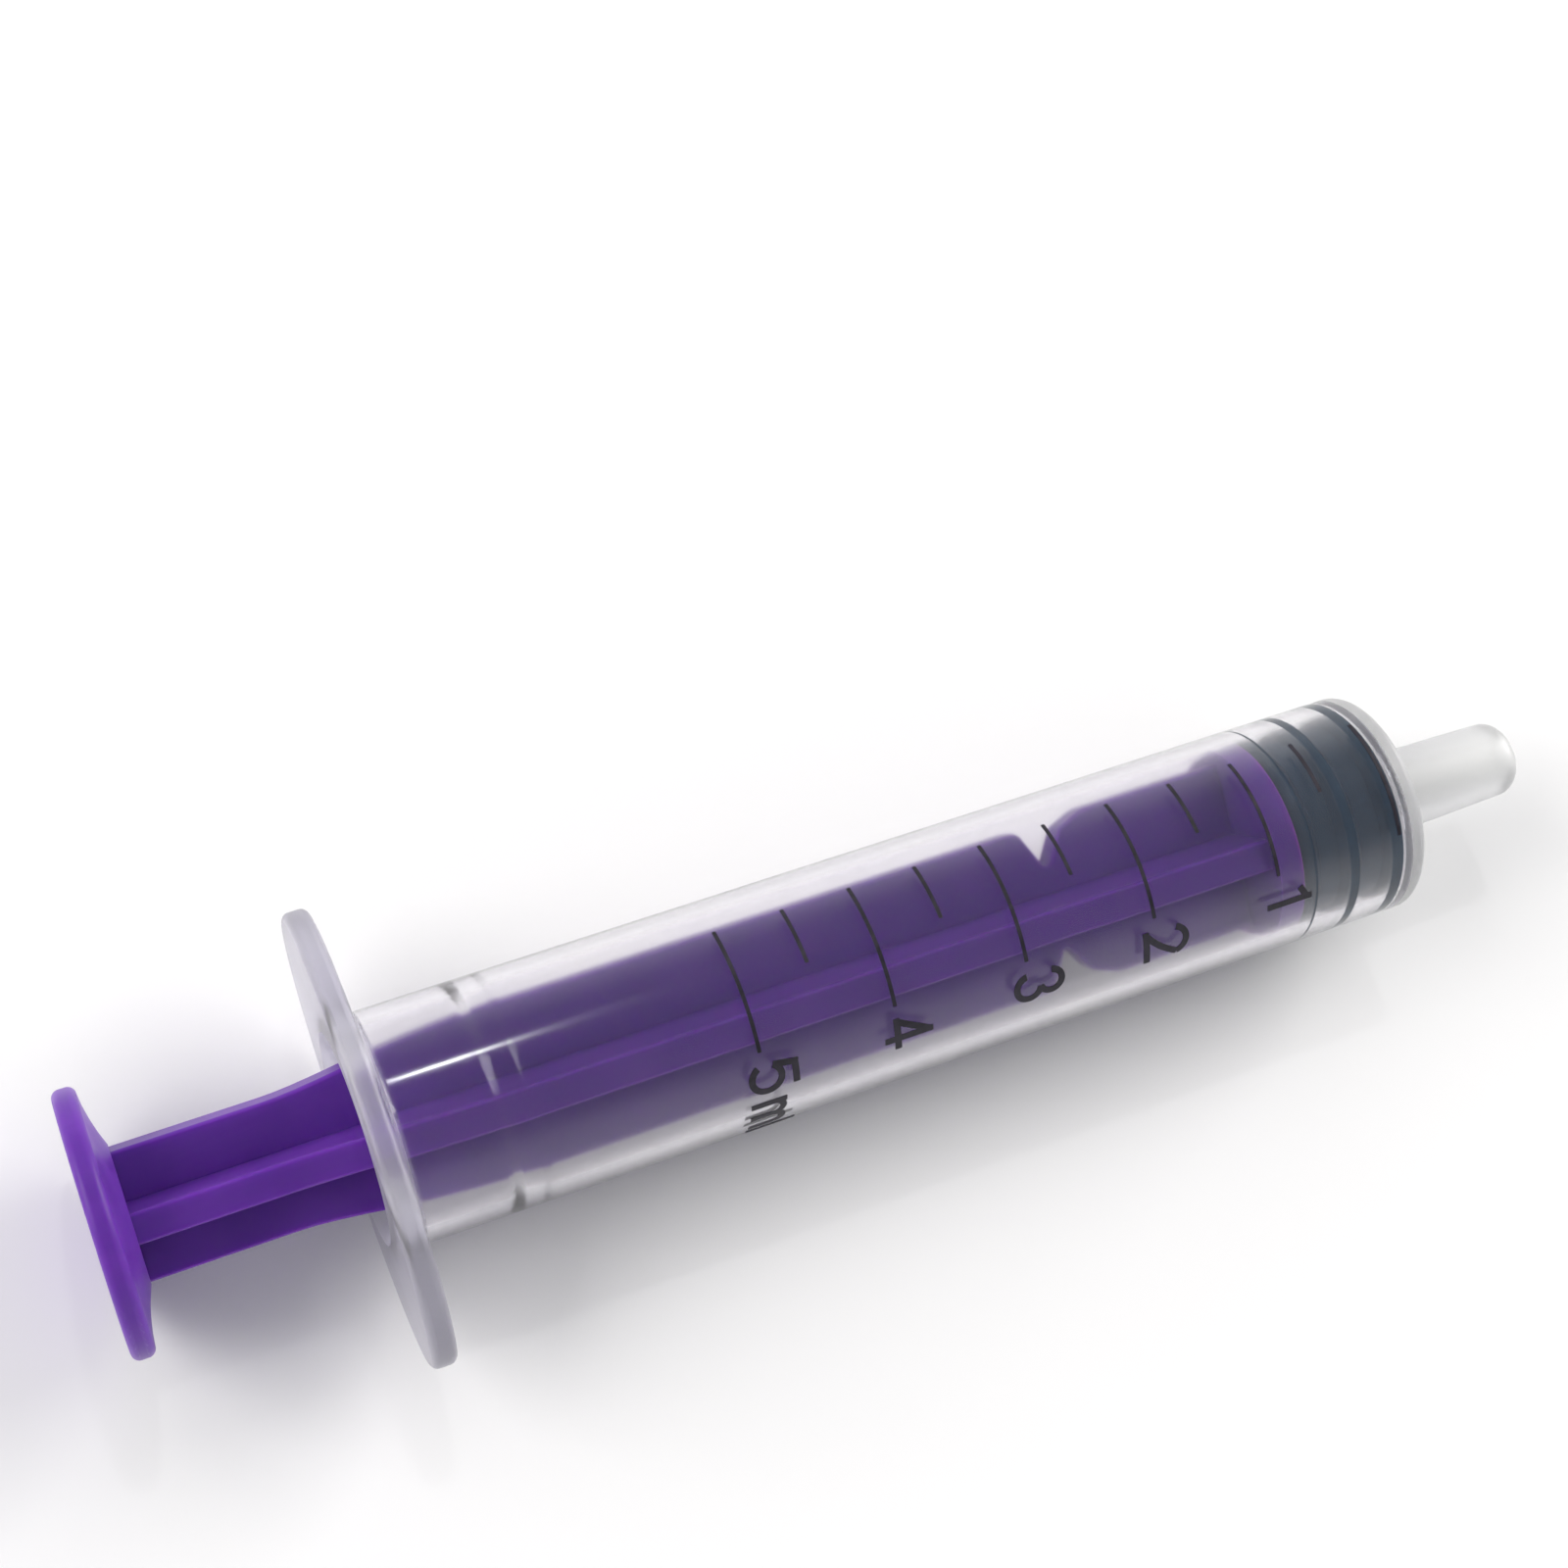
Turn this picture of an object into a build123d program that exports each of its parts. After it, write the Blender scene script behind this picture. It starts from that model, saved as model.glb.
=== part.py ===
"""Five millilitre oral syringe: moulded barrel, plunger rod and rubber piston seal.

Frame: +X runs along the barrel to the tip, the finger flange's wings point along Y, +Z is up.
The origin lies under the middle of the syringe, on the surface that it rests on, with the
plunger pushed fully home.  All sizes are in millimetres.
"""
from build123d import *
import math
import os

# --- capacity and bore -------------------------------------------------------------------------
BORE_RADIUS = 6.1
WALL = 0.9
BARREL_RADIUS = BORE_RADIUS + WALL
FULL_SCALE_ML = 5
ML_LENGTH = 1000.0 / (math.pi * BORE_RADIUS**2)      # axial length that holds one millilitre

# --- lengths along the axis --------------------------------------------------------------------
OVERALL_LENGTH = 93.3
REAR_X = -OVERALL_LENGTH / 2                          # outer face of the thumb disc
TIP_X = OVERALL_LENGTH / 2                            # end of the nozzle
FLANGE_REAR_X = REAR_X + 15.37
ZERO_X = FLANGE_REAR_X + 65.5                         # zero of the scale
FRONT_X = ZERO_X + 1.95                               # front face of the barrel
BORE_END_X = ZERO_X + 0.72
BEAD_X = FLANGE_REAR_X + 8.6                          # middle of the retaining bead

# --- barrel ------------------------------------------------------------------------------------
FLANGE_HALF_LENGTH = 13.9
FLANGE_HALF_DEPTH = 7.6
FLANGE_THICKNESS = 1.55
FLANGE_EDGE = 0.45
FLANGE_FILLET = 0.5
REAR_BORE_RADIUS = 6.12
MOUTH_RADIUS = 6.45
MOUTH_DEPTH = 0.8
BEAD_HEIGHT = 0.15                                    # at the ends of the bead's crest
BEAD_CREST_RISE = 0.02
BEAD_CREST_HALF_WIDTH = 0.55
BEAD_REAR_RAMP = 0.9
BEAD_FRONT_RAMP = 0.6
FRONT_CORNER = 0.5
NOZZLE_BASE_RADIUS = 2.65
NOZZLE_TIP_RADIUS = 2.4
NOZZLE_BASE_FILLET = 0.5
NOZZLE_TIP_ROUND = 1.1
NOZZLE_BORE_RADIUS = 1.0

# --- piston seal -------------------------------------------------------------------------------
SEAL_CLEARANCE = 0.05
SEAL_RIB_RADIUS = BORE_RADIUS - SEAL_CLEARANCE
SEAL_WAIST_RADIUS = 5.4
SEAL_REAR_X = ZERO_X - 6.4
SEAL_FRONT_X = ZERO_X + 0.65
SEAL_RIB_HEIGHT = SEAL_RIB_RADIUS - SEAL_WAIST_RADIUS
SEAL_END_ROUND = 0.35                                 # rounding of the end ribs towards the faces
SEAL_MIDDLE_RIB_X = ZERO_X - 2.8

# --- plunger rod -------------------------------------------------------------------------------
DISC_RADIUS = 7.9
DISC_RIM_THICKNESS = 1.4
DISC_HUB_RISE = 0.8                                   # the inner side is dished between hub and rim
DISC_HUB_RADIUS = 4.1
DISC_DISH_DEPTH = 0.12
DISC_RIM_ROUND = 0.5
RIB_THICKNESS = 1.85
RIB_ROLL = 23.5                                       # turn of the cross section from +Y towards +Z
RIB_EDGE = 0.2
RIB_TAPER = (                                         # half spans at distances from the flange
    (-4.7, 3.9),
    (-1.7, 4.1),
    (0.3, 4.35),
    (3.3, 4.72),
    (6.3, 4.98),
    (10.3, 5.1),
)
RIB_FRONT_HALF_SPAN = 5.28
NOTCH_CORNERS = (                                     # distance from the zero, half span, rounding
    (-21.99, 5.1, 0.8),
    (-20.61, 2.33, 0.3),
    (-19.25, 4.58, 0.8),
    (-17.5, RIB_FRONT_HALF_SPAN, 2.0),
)
COLLAR_RADIUS = 6.0
COLLAR_THICKNESS = 1.6
COLLAR_GAP = 0.05
NECK_RADIUS = 2.2
HEAD_RADIUS = 3.5
HEAD_LENGTH = 1.6
NECK_LENGTH = 2.0
SOCKET_CLEARANCE = 0.05
COLLAR_FRONT_X = SEAL_REAR_X - COLLAR_GAP

# --- printed scale -----------------------------------------------------------------------------
INK_THICKNESS = 0.04
LINE_WIDTH = 0.24
LINE_HALF_ANGLE = 32.4                                # long lines span this much each side of +Z
DIGIT_HEIGHT = 3.1
DIGIT_WIDTH = 2.15
DIGIT_STROKE = 0.42
DIGIT_BASE_OFFSET = -0.92                             # foot of a numeral, from its line
DIGIT_MIDDLE_ANGLE = 137.5
LETTER_M_ANGLE = 163.7
LETTER_L_ANGLE = 182.0
LETTER_M_WIDTH = 2.9
X_HEIGHT = 2.25

AXIS_Z = DISC_RADIUS                                  # the thumb disc's rim rests on the ground


def along_axis(profile):
    """Turn a closed (x, radius) outline about the syringe's axis."""
    face = make_face(profile)
    solid = revolve(face, axis=Axis.X)
    return solid.moved(Location((0, 0, AXIS_Z)))


def outline(*points):
    """Closed outline of straight runs through (x, radius) points."""
    return Polyline(*points, close=True)


def make_flange():
    plate = Ellipse(FLANGE_HALF_LENGTH, FLANGE_HALF_DEPTH)
    body = extrude(plate, FLANGE_THICKNESS)
    body = fillet(body.edges(), FLANGE_EDGE)
    plane = Plane(origin=(FLANGE_REAR_X, 0, AXIS_Z), x_dir=(0, 1, 0), z_dir=(1, 0, 0))
    return plane * body


def make_barrel():
    """Barrel, finger flange and nozzle, moulded as one piece."""
    flange_front = FLANGE_REAR_X + FLANGE_THICKNESS
    nozzle_root = NOZZLE_BASE_RADIUS + NOZZLE_BASE_FILLET
    shell = along_axis(
        Polyline(
            (FLANGE_REAR_X, 0),
            (FLANGE_REAR_X, BARREL_RADIUS),
            (flange_front - 0.01, BARREL_RADIUS),
            (flange_front - 0.01, BARREL_RADIUS + FLANGE_FILLET),
            (flange_front, BARREL_RADIUS + FLANGE_FILLET),
        )
        + RadiusArc(
            (flange_front, BARREL_RADIUS + FLANGE_FILLET),
            (flange_front + FLANGE_FILLET, BARREL_RADIUS),
            -FLANGE_FILLET,
        )
        + Line(
            (flange_front + FLANGE_FILLET, BARREL_RADIUS),
            (FRONT_X - FRONT_CORNER, BARREL_RADIUS),
        )
        + RadiusArc(
            (FRONT_X - FRONT_CORNER, BARREL_RADIUS),
            (FRONT_X, BARREL_RADIUS - FRONT_CORNER),
            FRONT_CORNER,
        )
        + Line((FRONT_X, BARREL_RADIUS - FRONT_CORNER), (FRONT_X, nozzle_root))
        + RadiusArc(
            (FRONT_X, nozzle_root),
            (FRONT_X + NOZZLE_BASE_FILLET, NOZZLE_BASE_RADIUS),
            -NOZZLE_BASE_FILLET,
        )
        + Line(
            (FRONT_X + NOZZLE_BASE_FILLET, NOZZLE_BASE_RADIUS),
            (TIP_X - NOZZLE_TIP_ROUND, NOZZLE_TIP_RADIUS),
        )
        + RadiusArc(
            (TIP_X - NOZZLE_TIP_ROUND, NOZZLE_TIP_RADIUS),
            (TIP_X, NOZZLE_TIP_RADIUS - NOZZLE_TIP_ROUND),
            NOZZLE_TIP_ROUND,
        )
        + Polyline((TIP_X, NOZZLE_TIP_RADIUS - NOZZLE_TIP_ROUND), (TIP_X, 0), (FLANGE_REAR_X, 0))
    )
    return make_flange() + shell - make_bore()


def make_bore():
    """The space inside the barrel: mouth, rear bore, bead, main bore and nozzle channel."""
    crest_radius = BORE_RADIUS - BEAD_HEIGHT
    crest_rear = (BEAD_X - BEAD_CREST_HALF_WIDTH, crest_radius)
    crest_front = (BEAD_X + BEAD_CREST_HALF_WIDTH, crest_radius)
    bead_rear = (crest_rear[0] - BEAD_REAR_RAMP, REAR_BORE_RADIUS)
    bead_front = (crest_front[0] + BEAD_FRONT_RAMP, BORE_RADIUS)
    crest_slope = 2 * BEAD_CREST_RISE / BEAD_CREST_HALF_WIDTH
    profile = (
        Polyline(
            (FLANGE_REAR_X - 1, 0),
            (FLANGE_REAR_X - 1, MOUTH_RADIUS),
            (FLANGE_REAR_X, MOUTH_RADIUS),
            (FLANGE_REAR_X + MOUTH_DEPTH, REAR_BORE_RADIUS),
            bead_rear,
        )
        + Spline(bead_rear, crest_rear, tangents=((1, 0), (1, -crest_slope)))
        + ThreePointArc(crest_rear, (BEAD_X, crest_radius - BEAD_CREST_RISE), crest_front)
        + Spline(crest_front, bead_front, tangents=((1, crest_slope), (1, 0)))
        + Polyline(
            bead_front,
            (BORE_END_X, BORE_RADIUS),
            (BORE_END_X, NOZZLE_BORE_RADIUS),
            (TIP_X + 1, NOZZLE_BORE_RADIUS),
            (TIP_X + 1, 0),
            (FLANGE_REAR_X - 1, 0),
        )
    )
    return along_axis(profile)


def quarter_round(middle, radius, side):
    """Quarter arc between a rib's crest and its flank, before (-1) or behind (+1) the crest."""
    crest = (middle, SEAL_RIB_RADIUS)
    reach = radius * math.sin(math.radians(45))
    between = (middle + side * reach, SEAL_RIB_RADIUS - radius + reach)
    flank = (middle + side * radius, SEAL_RIB_RADIUS - radius)
    ends = (flank, between, crest) if side < 0 else (crest, between, flank)
    return ThreePointArc(*ends)


def make_piston_seal():
    """Rubber piston with three sealing ribs, moulded round a socket for the rod's head."""
    rear_rib_x = SEAL_REAR_X + SEAL_END_ROUND
    front_rib_x = SEAL_FRONT_X - SEAL_END_ROUND
    end_radius = SEAL_RIB_RADIUS - SEAL_END_ROUND
    profile = Line((SEAL_REAR_X, 0), (SEAL_REAR_X, end_radius))
    profile += quarter_round(rear_rib_x, SEAL_END_ROUND, -1)
    profile += quarter_round(rear_rib_x, SEAL_RIB_HEIGHT, 1)
    profile += Line(
        (rear_rib_x + SEAL_RIB_HEIGHT, SEAL_WAIST_RADIUS),
        (SEAL_MIDDLE_RIB_X - SEAL_RIB_HEIGHT, SEAL_WAIST_RADIUS),
    )
    profile += quarter_round(SEAL_MIDDLE_RIB_X, SEAL_RIB_HEIGHT, -1)
    profile += quarter_round(SEAL_MIDDLE_RIB_X, SEAL_RIB_HEIGHT, 1)
    profile += Line(
        (SEAL_MIDDLE_RIB_X + SEAL_RIB_HEIGHT, SEAL_WAIST_RADIUS),
        (front_rib_x - SEAL_RIB_HEIGHT, SEAL_WAIST_RADIUS),
    )
    profile += quarter_round(front_rib_x, SEAL_RIB_HEIGHT, -1)
    profile += quarter_round(front_rib_x, SEAL_END_ROUND, 1)
    profile += Polyline((SEAL_FRONT_X, end_radius), (SEAL_FRONT_X, 0), (SEAL_REAR_X, 0))
    seal = along_axis(profile)
    neck_radius = NECK_RADIUS + SOCKET_CLEARANCE
    head_radius = HEAD_RADIUS + SOCKET_CLEARANCE
    head_rear = COLLAR_FRONT_X + NECK_LENGTH - SOCKET_CLEARANCE
    head_front = COLLAR_FRONT_X + NECK_LENGTH + HEAD_LENGTH + SOCKET_CLEARANCE
    socket = along_axis(
        outline(
            (SEAL_REAR_X - 1, 0),
            (SEAL_REAR_X - 1, neck_radius),
            (head_rear, neck_radius),
            (head_rear, head_radius),
            (head_front, head_radius),
            (head_front, 0),
        )
    )
    return seal - socket


def make_rib_plate(notched):
    """One full-width rib of the rod's cross section, in the XY plane of the axis."""
    rear = REAR_X + DISC_RIM_THICKNESS
    front = COLLAR_FRONT_X - COLLAR_THICKNESS / 2
    taper = [(FLANGE_REAR_X + distance, half_span) for distance, half_span in RIB_TAPER]
    corners = [(ZERO_X + distance, half_span) for distance, half_span, _ in NOTCH_CORNERS]
    if not notched:
        corners = [corners[0], corners[-1]]
    sheet = make_face(
        Polyline((rear, 0), (rear, taper[0][1]), taper[0])
        + Spline(*taper, tangents=((1, 0), (1, 0)))
        + Polyline(taper[-1], *corners, (front, RIB_FRONT_HALF_SPAN), (front, 0), (rear, 0))
    )
    if notched:
        for corner, (_, _, rounding) in zip(corners, NOTCH_CORNERS):
            nearest = sheet.vertices().sort_by_distance((*corner, 0))[0]
            sheet = fillet(nearest, rounding)
    plate = extrude(sheet, RIB_THICKNESS / 2, both=True)
    outer = plate.edges().filter_by(lambda edge: edge.center().Y > 1)
    rim = outer.filter_by(lambda edge: abs(edge.center().Z) > RIB_THICKNESS / 4)
    plate = fillet(rim.filter_by(lambda edge: rear < edge.center().X < front), RIB_EDGE)
    return plate + plate.mirror(Plane.XZ)


def make_plunger_rod():
    """Thumb disc, cross-shaped shaft, collar and the head that snaps into the seal."""
    inner_x = REAR_X + DISC_RIM_THICKNESS
    rim_rear = (REAR_X, DISC_RADIUS - DISC_RIM_ROUND)
    rim_front = (inner_x, DISC_RADIUS - DISC_RIM_ROUND)
    hub = (inner_x + DISC_HUB_RISE, DISC_HUB_RADIUS)
    dish = (
        (rim_front[0] + hub[0]) / 2 - DISC_DISH_DEPTH,
        (rim_front[1] + hub[1]) / 2 - DISC_DISH_DEPTH / 2,
    )
    disc = along_axis(
        Line((REAR_X, 0), rim_rear)
        + RadiusArc(rim_rear, (REAR_X + DISC_RIM_ROUND, DISC_RADIUS), DISC_RIM_ROUND)
        + Line((REAR_X + DISC_RIM_ROUND, DISC_RADIUS), (inner_x - DISC_RIM_ROUND, DISC_RADIUS))
        + RadiusArc(
            (inner_x - DISC_RIM_ROUND, DISC_RADIUS),
            rim_front,
            DISC_RIM_ROUND,
        )
        + ThreePointArc(rim_front, dish, hub)
        + Polyline(hub, (hub[0], 0), (REAR_X, 0))
    )
    head_x = COLLAR_FRONT_X + NECK_LENGTH
    head = along_axis(
        outline(
            (COLLAR_FRONT_X - COLLAR_THICKNESS, 0),
            (COLLAR_FRONT_X - COLLAR_THICKNESS, COLLAR_RADIUS),
            (COLLAR_FRONT_X, COLLAR_RADIUS),
            (COLLAR_FRONT_X, NECK_RADIUS),
            (head_x, NECK_RADIUS),
            (head_x, HEAD_RADIUS),
            (head_x + HEAD_LENGTH, HEAD_RADIUS * 0.8),
            (head_x + HEAD_LENGTH, 0),
        )
    )
    rod = disc + head
    for quarter, notched in ((0, True), (90, False)):
        turn = Location((0, 0, AXIS_Z), (RIB_ROLL + quarter, 0, 0))
        rod += make_rib_plate(notched).moved(turn)
    return rod


def ink_shell():
    """Thin layer on the outside of the barrel, from which the printed marks are cut."""
    length = ZERO_X + 3 - FLANGE_REAR_X
    tube = Cylinder(BARREL_RADIUS + INK_THICKNESS, length) - Cylinder(BARREL_RADIUS, length)
    return Plane(origin=(FLANGE_REAR_X + length / 2, 0, AXIS_Z), z_dir=(1, 0, 0)) * tube


def scale_x(millilitres):
    return ZERO_X - millilitres * ML_LENGTH


def scale_line(millilitres, end_angle):
    """Printed line round the barrel, from the upper end of the scale to end_angle degrees from +Y."""
    start_angle = 90 - LINE_HALF_ANGLE
    left = scale_x(millilitres) - LINE_WIDTH / 2
    strip = outline(
        (left, BARREL_RADIUS),
        (left, BARREL_RADIUS + INK_THICKNESS),
        (left + LINE_WIDTH, BARREL_RADIUS + INK_THICKNESS),
        (left + LINE_WIDTH, BARREL_RADIUS),
    )
    solid = revolve(make_face(strip), axis=Axis.X, revolution_arc=end_angle - start_angle)
    return solid.moved(Location((0, 0, AXIS_Z), (start_angle, 0, 0)))


def stroke(path):
    """Flat stroke of the printing pen along a path."""
    return trace(path, DIGIT_STROKE)


def digit_shapes():
    """Numerals drawn with their foot at y = 0 and centred on x = 0."""
    high = DIGIT_HEIGHT - DIGIT_STROKE / 2
    low = DIGIT_STROKE / 2
    side = DIGIT_WIDTH / 2 - DIGIT_STROKE / 2
    stem = 0.12 * side
    one = stroke(Line((stem, 0), (stem, DIGIT_HEIGHT)))
    one += stroke(Line((-0.8 * side, 0.74 * DIGIT_HEIGHT), (stem, 0.88 * DIGIT_HEIGHT)))
    two_bowl = ThreePointArc((-side, 0.73 * DIGIT_HEIGHT), (0, high), (side, 0.72 * DIGIT_HEIGHT))
    two_neck = Spline((side, 0.72 * DIGIT_HEIGHT), (0.1, 0.36 * DIGIT_HEIGHT), (-side, low))
    two = stroke(two_bowl) + stroke(two_neck)
    two += stroke(Line((-DIGIT_WIDTH / 2, low), (DIGIT_WIDTH / 2, low)))
    waist = 0.53 * DIGIT_HEIGHT
    three_top = ThreePointArc((-side, 0.78 * DIGIT_HEIGHT), (0.35 * side, high - 0.02), (0, waist))
    three_low = ThreePointArc((0, waist), (0.55 * side, low + 0.1), (-side, 0.25 * DIGIT_HEIGHT))
    three = stroke(three_top) + stroke(three_low)
    four = stroke(Line((0.35 * side, 0), (0.35 * side, DIGIT_HEIGHT)))
    four += stroke(Line((-DIGIT_WIDTH / 2, 0.27 * DIGIT_HEIGHT), (DIGIT_WIDTH / 2, 0.27 * DIGIT_HEIGHT)))
    four += stroke(Line((0.35 * side, high), (-side, 0.27 * DIGIT_HEIGHT)))
    five = stroke(Line((-0.7 * side, high), (side, high)))
    five += stroke(Line((-0.7 * side, DIGIT_HEIGHT), (-side, 0.5 * DIGIT_HEIGHT)))
    five += stroke(
        ThreePointArc((-side, 0.5 * DIGIT_HEIGHT), (side, 0.36 * DIGIT_HEIGHT), (-side, 0.2 * DIGIT_HEIGHT))
    )
    return {1: one, 2: two, 3: three, 4: four, 5: five}


def printed_on_barrel(shape, foot_x, angle):
    """Ink of a flat shape, wrapped on the barrel with its middle at angle degrees from +Y."""
    block = extrude(shape, BARREL_RADIUS + 1)
    radial = (0, math.cos(math.radians(angle)), math.sin(math.radians(angle)))
    around = (0, -math.sin(math.radians(angle)), math.cos(math.radians(angle)))
    plane = Plane(origin=(foot_x, 0, AXIS_Z), x_dir=around, z_dir=radial)
    return (plane * block) & ink_shell()


def make_numerals():
    shapes = digit_shapes()
    marks = []
    for number in range(1, FULL_SCALE_ML + 1):
        foot_x = scale_x(number) + DIGIT_BASE_OFFSET
        marks.append(printed_on_barrel(shapes[number], foot_x, DIGIT_MIDDLE_ANGLE))
    return Compound(children=[solid for mark in marks for solid in mark.solids()])


def make_unit():
    """The letters ml beside the numeral of the full scale."""
    foot_x = scale_x(FULL_SCALE_ML) + DIGIT_BASE_OFFSET
    side = LETTER_M_WIDTH / 2 - DIGIT_STROKE / 2
    arch = side / 2
    letter_m = stroke(Line((-side, 0), (-side, X_HEIGHT)))
    for leg in (0, side):
        spring = X_HEIGHT - DIGIT_STROKE / 2 - arch
        letter_m += stroke(Line((leg, 0), (leg, spring)))
        letter_m += stroke(
            ThreePointArc((leg - side, spring), (leg - arch, spring + arch), (leg, spring))
        )
    letter_l = stroke(Line((0, 0), (0, DIGIT_HEIGHT)))
    marks = [
        printed_on_barrel(letter_m, foot_x, LETTER_M_ANGLE),
        printed_on_barrel(letter_l, foot_x, LETTER_L_ANGLE),
    ]
    return Compound(children=[solid for mark in marks for solid in mark.solids()])


def make_parts():
    whole_lines = [scale_line(number, 90 + LINE_HALF_ANGLE) for number in range(FULL_SCALE_ML + 1)]
    half_lines = [scale_line(number + 0.5, 89) for number in range(FULL_SCALE_ML)]
    return {
        "barrel": make_barrel(),
        "plunger_rod": make_plunger_rod(),
        "piston_seal": make_piston_seal(),
        "scale_lines_ml": Compound(children=whole_lines),
        "scale_lines_half_ml": Compound(children=half_lines),
        "scale_numerals": make_numerals(),
        "scale_unit": make_unit(),
    }


os.makedirs("parts", exist_ok=True)
for name, part in make_parts().items():
    export_step(part, f"parts/{name}.step")
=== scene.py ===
"""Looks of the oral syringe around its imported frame. Lengths are in metres."""

import math

import bmesh
import bpy
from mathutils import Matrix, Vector


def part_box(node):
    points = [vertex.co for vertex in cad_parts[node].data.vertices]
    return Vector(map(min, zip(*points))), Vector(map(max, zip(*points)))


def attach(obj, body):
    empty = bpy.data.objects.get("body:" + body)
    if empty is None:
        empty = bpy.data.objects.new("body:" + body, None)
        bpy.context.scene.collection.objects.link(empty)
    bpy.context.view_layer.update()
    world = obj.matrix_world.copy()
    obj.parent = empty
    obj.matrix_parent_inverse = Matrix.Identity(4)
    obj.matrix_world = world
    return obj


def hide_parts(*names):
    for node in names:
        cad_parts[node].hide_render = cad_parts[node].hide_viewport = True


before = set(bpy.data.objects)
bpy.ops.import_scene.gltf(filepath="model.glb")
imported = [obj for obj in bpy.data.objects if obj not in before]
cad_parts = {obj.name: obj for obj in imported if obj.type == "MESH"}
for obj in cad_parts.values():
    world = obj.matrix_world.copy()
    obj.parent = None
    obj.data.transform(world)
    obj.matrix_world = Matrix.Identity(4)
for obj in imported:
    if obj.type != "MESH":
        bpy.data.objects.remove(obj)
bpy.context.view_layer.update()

MM = 0.001

FLANGE_THICKNESS = 1.55 * MM
NOZZLE_LENGTH = 10.48 * MM
SEAL_CLEARANCE = 0.05 * MM                # between the CAD seal's ribs and the bore
POLYPROPYLENE_IOR = 1.49

# --- visible piston seal: places are measured from its rear face or its front face ----------------
RIB_PRESS = 0.03 * MM                     # how far the ribs reach into the barrel's wall
WAIST_DEPTH = 0.5 * MM
REAR_LIP = 0.75 * MM
MIDDLE_RIB = 3.5 * MM
MIDDLE_RIB_HALF_CREST = 0.18 * MM
MIDDLE_RIB_ROUND = 0.3 * MM
MIDDLE_RIB_HALF_FOOT = 0.75 * MM
FRONT_RIB = 0.75 * MM
FRONT_RIB_ROUND = 0.35 * MM
FRONT_RIB_FOOT = 1.3 * MM
LIP_ROUND = 0.12 * MM
EDGE_ROUND = 0.25 * MM
ARC_STEPS = 8
SEAL_SEGMENTS = 192
FLOOR_HALF_SIZE = 3.0

barrel_low, barrel_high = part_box("barrel")
seal_low, seal_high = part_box("piston_seal")
AXIS_Z = (seal_low.z + seal_high.z) / 2
BORE_RADIUS = (seal_high.z - seal_low.z) / 2 + SEAL_CLEARANCE
FLANGE_FRONT_X = barrel_low.x + FLANGE_THICKNESS
NOZZLE_ROOT_X = barrel_high.x - NOZZLE_LENGTH


# --- node helpers ------------------------------------------------------------------------------
def new_material(name):
    material = bpy.data.materials.new(name)
    material.use_nodes = True
    nodes = material.node_tree.nodes
    nodes.clear()
    output = nodes.new("ShaderNodeOutputMaterial")
    shader = nodes.new("ShaderNodeBsdfPrincipled")
    material.node_tree.links.new(shader.outputs["BSDF"], output.inputs["Surface"])
    return material, shader, output


def link(material, source, target):
    material.node_tree.links.new(source, target)


def stretched_coordinates(material, scale):
    """Object coordinates times scale, in metres, so that a pattern can run along the syringe."""
    nodes = material.node_tree.nodes
    coordinates = nodes.new("ShaderNodeTexCoord")
    mapping = nodes.new("ShaderNodeMapping")
    mapping.inputs["Scale"].default_value = scale
    link(material, coordinates.outputs["Object"], mapping.inputs["Vector"])
    return mapping.outputs["Vector"]


def noise(material, vector, scale, detail=3.0, roughness=0.5, distortion=0.0):
    node = material.node_tree.nodes.new("ShaderNodeTexNoise")
    node.inputs["Scale"].default_value = scale
    node.inputs["Detail"].default_value = detail
    node.inputs["Roughness"].default_value = roughness
    node.inputs["Distortion"].default_value = distortion
    link(material, vector, node.inputs["Vector"])
    return node.outputs["Fac"]


def spread(material, value, low, high, to_low=0.0, to_high=1.0):
    """Maps low..high of value to to_low..to_high, clamped."""
    node = material.node_tree.nodes.new("ShaderNodeMapRange")
    node.inputs["From Min"].default_value = low
    node.inputs["From Max"].default_value = high
    node.inputs["To Min"].default_value = to_low
    node.inputs["To Max"].default_value = to_high
    link(material, value, node.inputs["Value"])
    return node.outputs["Result"]


def mix_colour(material, factor, first, second):
    node = material.node_tree.nodes.new("ShaderNodeMix")
    node.data_type = "RGBA"
    for socket, value in ((node.inputs[6], first), (node.inputs[7], second)):
        if isinstance(value, bpy.types.NodeSocket):
            link(material, value, socket)
        else:
            socket.default_value = (*value, 1.0)
    link(material, factor, node.inputs[0])
    return node.outputs[2]


def maths(material, operation, first, second):
    node = material.node_tree.nodes.new("ShaderNodeMath")
    node.operation = operation
    for socket, value in zip(node.inputs, (first, second)):
        if isinstance(value, bpy.types.NodeSocket):
            link(material, value, socket)
        else:
            socket.default_value = value
    return node.outputs[0]


def bump(material, height, strength, distance, below=None):
    node = material.node_tree.nodes.new("ShaderNodeBump")
    node.inputs["Strength"].default_value = strength
    node.inputs["Distance"].default_value = distance
    link(material, height, node.inputs["Height"])
    if below is not None:
        link(material, below, node.inputs["Normal"])
    return node.outputs["Normal"]


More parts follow.
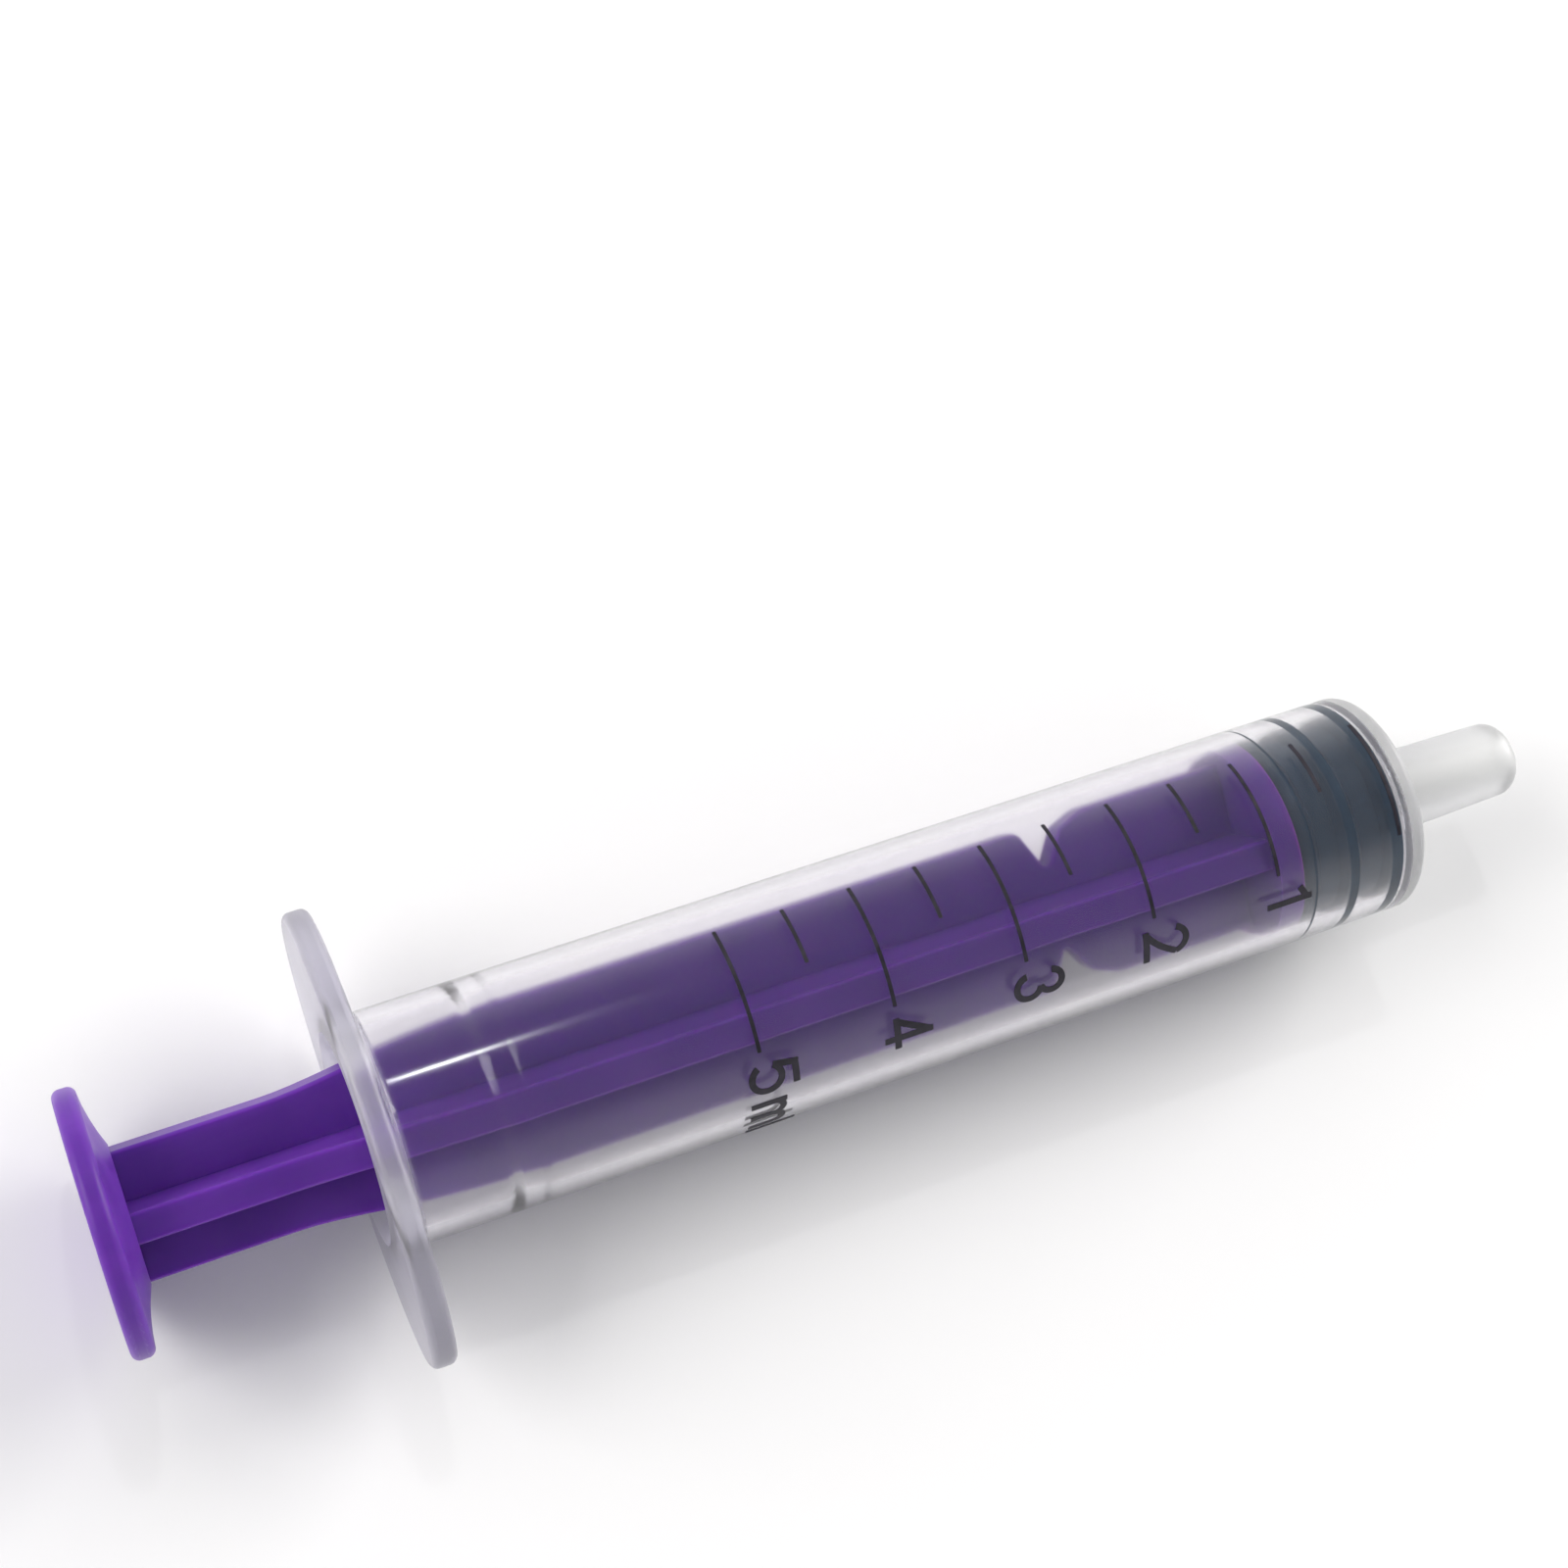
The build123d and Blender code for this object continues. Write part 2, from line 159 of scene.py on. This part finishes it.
# --- materials ---------------------------------------------------------------------------------
def make_polypropylene():
    """Natural polypropylene: polished round the scale, satin and milkier at both ends."""
    material, shader, output = new_material("natural_polypropylene")
    streaks = stretched_coordinates(material, (25, 300, 300))
    plain = stretched_coordinates(material, (1, 1, 1))
    flow = noise(material, streaks, 1.0, detail=3.0, roughness=0.5, distortion=0.3)
    grain = noise(material, plain, 3200.0, detail=2.0)
    cloud = noise(material, plain, 140.0, detail=2.0)
    separate = material.node_tree.nodes.new("ShaderNodeSeparateXYZ")
    link(material, plain, separate.inputs["Vector"])
    along = separate.outputs["X"]
    flange = spread(material, along, FLANGE_FRONT_X, FLANGE_FRONT_X + 0.6 * MM, 1.0, 0.0)
    nozzle = spread(material, along, NOZZLE_ROOT_X - 1.2 * MM, NOZZLE_ROOT_X - 1.0 * MM)
    shader.inputs["IOR"].default_value = POLYPROPYLENE_IOR
    clarity = maths(
        material,
        "SUBTRACT",
        spread(material, flange, 0.0, 1.0, 0.992, 0.82),
        spread(material, nozzle, 0.0, 1.0, 0.0, 0.30),
    )
    link(material, clarity, shader.inputs["Transmission Weight"])
    tint = mix_colour(
        material, spread(material, cloud, 0.35, 0.65), (0.98, 0.966, 1.0), (1.0, 0.99, 1.0)
    )
    tint = mix_colour(material, flange, tint, (0.86, 0.85, 0.905))
    tint = mix_colour(material, nozzle, tint, (0.985, 0.99, 0.975))
    link(material, tint, shader.inputs["Base Color"])
    polish = spread(material, flow, 0.3, 0.7, 0.10, 0.14)
    frost = maths(
        material,
        "ADD",
        spread(material, flange, 0.0, 1.0, 0.0, 0.20),
        spread(material, nozzle, 0.0, 1.0, 0.0, 0.20),
    )
    link(material, maths(material, "ADD", polish, frost), shader.inputs["Roughness"])
    coarse = bump(material, flow, 0.07, 0.015 * MM)
    fine = bump(material, grain, 0.06, 0.003 * MM, below=coarse)
    link(material, fine, shader.inputs["Normal"])
    absorption = material.node_tree.nodes.new("ShaderNodeVolumeAbsorption")
    absorption.inputs["Color"].default_value = (0.80, 0.79, 0.86, 1.0)
    absorption.inputs["Density"].default_value = 110.0
    link(material, absorption.outputs["Volume"], output.inputs["Volume"])
    return material


def make_purple_plastic():
    """Coloured, slightly translucent polypropylene, streaky where the pigment flowed."""
    material, shader, _ = new_material("purple_polypropylene")
    streaks = stretched_coordinates(material, (45, 330, 330))
    plain = stretched_coordinates(material, (1, 1, 1))
    flow = noise(material, streaks, 1.0, detail=4.0, roughness=0.6, distortion=0.6)
    grain = noise(material, plain, 5200.0, detail=2.0)
    cloud = noise(material, plain, 210.0, detail=3.0)
    pigment = maths(material, "MULTIPLY", flow, cloud)
    colour = mix_colour(
        material, spread(material, pigment, 0.12, 0.40), (0.110, 0.029, 0.305), (0.142, 0.039, 0.36)
    )
    link(material, colour, shader.inputs["Base Color"])
    link(material, spread(material, flow, 0.3, 0.7, 0.30, 0.40), shader.inputs["Roughness"])
    shader.inputs["IOR"].default_value = POLYPROPYLENE_IOR
    shader.inputs["Specular IOR Level"].default_value = 0.22
    shader.inputs["Subsurface Weight"].default_value = 0.9
    shader.inputs["Subsurface Radius"].default_value = (1.0, 0.2, 0.85)
    shader.inputs["Subsurface Scale"].default_value = 1.7 * MM
    coarse = bump(material, cloud, 0.3, 0.02 * MM)
    fine = bump(material, grain, 0.25, 0.006 * MM, below=coarse)
    link(material, fine, shader.inputs["Normal"])
    return material


def make_seal_rubber():
    """Dark moulded rubber with a film of silicone oil."""
    material, shader, _ = new_material("seal_rubber")
    plain = stretched_coordinates(material, (1, 1, 1))
    cloud = noise(material, plain, 420.0, detail=4.0, roughness=0.6)
    grain = noise(material, plain, 6500.0, detail=2.0)
    colour = mix_colour(
        material, spread(material, cloud, 0.35, 0.65), (0.024, 0.052, 0.090), (0.036, 0.068, 0.110)
    )
    link(material, colour, shader.inputs["Base Color"])
    link(material, spread(material, cloud, 0.3, 0.7, 0.42, 0.6), shader.inputs["Roughness"])
    shader.inputs["Specular IOR Level"].default_value = 0.15
    shader.inputs["Coat Weight"].default_value = 0.05
    shader.inputs["Coat Roughness"].default_value = 0.12
    coarse = bump(material, cloud, 0.3, 0.02 * MM)
    fine = bump(material, grain, 0.3, 0.008 * MM, below=coarse)
    link(material, fine, shader.inputs["Normal"])
    return material


def make_ink():
    """Thin dark print, slightly uneven and rubbed."""
    material, shader, _ = new_material("scale_ink")
    plain = stretched_coordinates(material, (1, 1, 1))
    patch = noise(material, plain, 900.0, detail=4.0, roughness=0.65)
    speck = noise(material, plain, 5200.0, detail=2.0)
    colour = mix_colour(
        material, spread(material, patch, 0.35, 0.7), (0.012, 0.010, 0.016), (0.030, 0.026, 0.038)
    )
    link(material, colour, shader.inputs["Base Color"])
    link(material, spread(material, patch, 0.3, 0.7, 0.38, 0.55), shader.inputs["Roughness"])
    shader.inputs["Specular IOR Level"].default_value = 0.25
    link(material, bump(material, speck, 0.3, 0.005 * MM), shader.inputs["Normal"])
    return material


def dress(node, material):
    """Puts a material on every slot of a CAD node."""
    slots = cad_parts[node].data.materials
    if not slots:
        slots.append(material)
    for index in range(len(slots)):
        slots[index] = material


# --- piston seal -------------------------------------------------------------------------------
def arc(centre_x, centre_r, radius, start, end):
    """Points of an arc in the (x, radius) half plane, angles in degrees from +X."""
    points = []
    for step in range(ARC_STEPS + 1):
        angle = math.radians(start + (end - start) * step / ARC_STEPS)
        points.append((centre_x + radius * math.cos(angle), centre_r + radius * math.sin(angle)))
    return points


def lathe(name, profile):
    """Mesh turned about the syringe's axis from (x, radius) points that start and end on the axis."""
    mesh = bmesh.new()
    rings = []
    for x, radius in profile:
        if radius < 1e-9:
            rings.append([mesh.verts.new((x, 0, AXIS_Z))])
            continue
        ring = []
        for index in range(SEAL_SEGMENTS):
            angle = 2 * math.pi * index / SEAL_SEGMENTS
            ring.append(
                mesh.verts.new((x, radius * math.cos(angle), AXIS_Z + radius * math.sin(angle)))
            )
        rings.append(ring)
    for first, second in zip(rings, rings[1:]):
        for index in range(SEAL_SEGMENTS):
            following = (index + 1) % SEAL_SEGMENTS
            if len(first) == 1:
                corners = (first[0], second[index], second[following])
            elif len(second) == 1:
                corners = (first[index], second[0], first[following])
            else:
                corners = (first[index], second[index], second[following], first[following])
            mesh.faces.new(corners)
    bmesh.ops.recalc_face_normals(mesh, faces=mesh.faces)
    data = bpy.data.meshes.new(name)
    mesh.to_mesh(data)
    mesh.free()
    data.polygons.foreach_set("use_smooth", [True] * len(data.polygons))
    data.set_sharp_from_angle(angle=math.radians(38))
    piece = bpy.data.objects.new(name, data)
    bpy.context.scene.collection.objects.link(piece)
    return piece


def make_seal():
    """Rubber piston whose ribs are pressed flat against the barrel's wall, seen through it."""
    crest = BORE_RADIUS + RIB_PRESS
    waist = BORE_RADIUS - WAIST_DEPTH
    rear, front = seal_low.x, seal_high.x
    lip = rear + REAR_LIP
    middle = rear + MIDDLE_RIB
    middle_rear = middle - MIDDLE_RIB_HALF_CREST
    middle_front = middle + MIDDLE_RIB_HALF_CREST
    middle_round_r = crest - MIDDLE_RIB_ROUND
    profile = [(rear + 0.8 * MM, 0.0), (rear + 0.8 * MM, 2.6 * MM), (rear, 2.9 * MM)]
    profile += arc(rear + EDGE_ROUND, waist - EDGE_ROUND, EDGE_ROUND, 180, 100)
    profile += arc(lip, crest - LIP_ROUND, LIP_ROUND, 130, 50)
    profile += [(rear + 1.35 * MM, waist), (middle - MIDDLE_RIB_HALF_FOOT, waist)]
    profile += arc(middle_rear, middle_round_r, MIDDLE_RIB_ROUND, 160, 90)
    profile += arc(middle_front, middle_round_r, MIDDLE_RIB_ROUND, 90, 20)
    profile += [(middle + MIDDLE_RIB_HALF_FOOT, waist), (front - FRONT_RIB_FOOT, waist)]
    profile += arc(front - FRONT_RIB, crest - FRONT_RIB_ROUND, FRONT_RIB_ROUND, 160, 90)
    profile += arc(front - EDGE_ROUND, crest - EDGE_ROUND, EDGE_ROUND, 90, 0)
    profile += [(front, 1.5 * MM), (front - 0.3 * MM, 0.9 * MM), (front - 0.3 * MM, 0.0)]
    return lathe("rubber_piston", profile)


polypropylene = make_polypropylene()
purple = make_purple_plastic()
rubber = make_seal_rubber()
ink = make_ink()
dress("barrel", polypropylene)
dress("plunger_rod", purple)
dress("piston_seal", rubber)
for name in ("scale_lines_ml", "scale_lines_half_ml", "scale_numerals", "scale_unit"):
    dress(name, ink)

seal = make_seal()
seal.data.materials.append(rubber)
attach(seal, "piston")
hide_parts("piston_seal")


# --- stage, light and camera -------------------------------------------------------------------
def make_floor():
    data = bpy.data.meshes.new("floor")
    quarters = [(-1, -1), (1, -1), (1, 1), (-1, 1)]
    corners = [(FLOOR_HALF_SIZE * x, FLOOR_HALF_SIZE * y, 0) for x, y in quarters]
    data.from_pydata(corners, [], [(0, 1, 2, 3)])
    floor = bpy.data.objects.new("floor", data)
    bpy.context.scene.collection.objects.link(floor)
    material, shader, _ = new_material("floor_white")
    shader.inputs["Base Color"].default_value = (0.92, 0.92, 0.92, 1.0)
    shader.inputs["Roughness"].default_value = 0.9
    shader.inputs["Specular IOR Level"].default_value = 0.1
    data.materials.append(material)
    return floor


def softbox(name, location, target, width, height, power, colour):
    data = bpy.data.lights.new(name, "AREA")
    data.shape = "RECTANGLE"
    data.size = width
    data.size_y = height
    data.energy = power
    data.color = colour
    lamp = bpy.data.objects.new(name, data)
    bpy.context.scene.collection.objects.link(lamp)
    lamp.location = location
    aim = Vector(target) - Vector(location)
    lamp.rotation_euler = aim.to_track_quat("-Z", "Y").to_euler()


def make_world(levels):
    """Dome of soft light from (height above the horizon, brightness, colour) stops."""
    world = bpy.data.worlds.new("studio")
    world.use_nodes = True
    nodes, links = world.node_tree.nodes, world.node_tree.links
    direction = nodes.new("ShaderNodeTexCoord")
    separate = nodes.new("ShaderNodeSeparateXYZ")
    ramp = nodes.new("ShaderNodeValToRGB")
    links.new(direction.outputs["Generated"], separate.inputs["Vector"])
    links.new(separate.outputs["Z"], ramp.inputs["Fac"])
    stops = ramp.color_ramp.elements
    while len(stops) < len(levels):
        stops.new(0.5)
    for stop, (height, brightness, colour) in zip(stops, levels):
        stop.position = height
        stop.color = [brightness * channel for channel in colour] + [1.0]
    links.new(ramp.outputs["Color"], nodes["Background"].inputs["Color"])
    bpy.context.scene.world = world


def make_camera():
    data = bpy.data.cameras.new("camera")
    data.sensor_width = 36.0
    data.lens = 57.54
    data.shift_x = 0.0636
    data.shift_y = 0.0321
    data.clip_start = 0.01
    data.clip_end = 10.0
    camera = bpy.data.objects.new("camera", data)
    bpy.context.scene.collection.objects.link(camera)
    camera.location = (-0.04433, -0.02539, 0.1512)
    camera.rotation_euler = [math.radians(angle) for angle in (18.22, -8.886, -20.688)]
    bpy.context.scene.camera = camera


make_floor()
make_world(
    [
        (0.0, 1.08, (1.0, 1.0, 1.0)),
        (0.30, 0.88, (0.98, 0.98, 1.0)),
        (0.60, 0.36, (0.96, 0.97, 1.0)),
        (1.0, 0.24, (0.93, 0.95, 1.0)),
    ]
)
# The two softboxes stand where the barrel doesn't mirror them; the lamp is its narrow highlight.
softbox("left", (-0.76, 0.28, 0.60), (0, 0, 0), 0.7, 0.7, 7.0, (1.0, 0.98, 0.96))
softbox("right", (0.92, 0.22, 0.55), (0, 0, 0), 0.7, 0.7, 9.0, (1.0, 0.98, 0.96))
softbox(
    "lamp", (0.0515, 0.307, 0.525), (-0.026, 0.001, 0.0148), 0.023, 0.012, 0.18, (1.0, 1.0, 1.0)
)
make_camera()
bpy.context.scene.view_settings.view_transform = "Standard"
